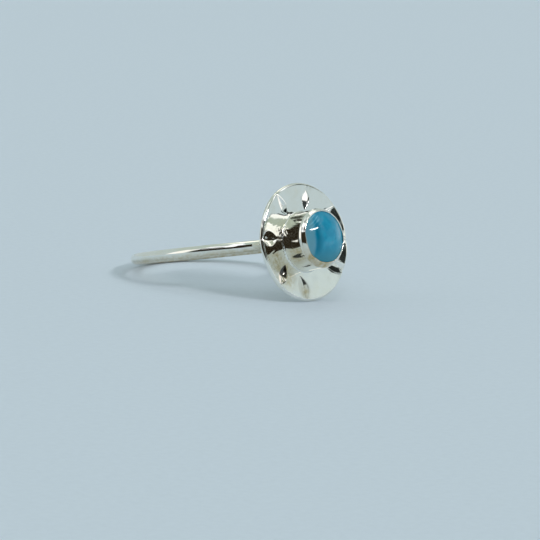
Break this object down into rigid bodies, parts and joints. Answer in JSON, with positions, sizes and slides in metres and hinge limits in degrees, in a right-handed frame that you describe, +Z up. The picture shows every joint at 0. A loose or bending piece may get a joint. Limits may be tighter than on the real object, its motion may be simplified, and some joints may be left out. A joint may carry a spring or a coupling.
{
  "type": "cabochon ring",
  "caption": "Silver ring of round wire with a dished, stamped disc across it and a tall plain bezel cup holding a round, domed blue stone.",
  "frame": {"origin": "middle of the ring's box, on the floor that it lies on", "axes": "+Z up from the floor, the stone and the disc's face look towards -Y and a little up, +Y runs towards the far end of the hoop"},
  "size_m": [0.0206, 0.024, 0.0115],
  "materials": {
    "polished_silver": "polished sterling silver, lightly worn",
    "blue_stone": "polished, cloudy sea blue"
  },
  "bodies": {
    "root": {"silver_mount": "polished_silver", "cabochon": "blue_stone"}
  },
  "joints": []
}
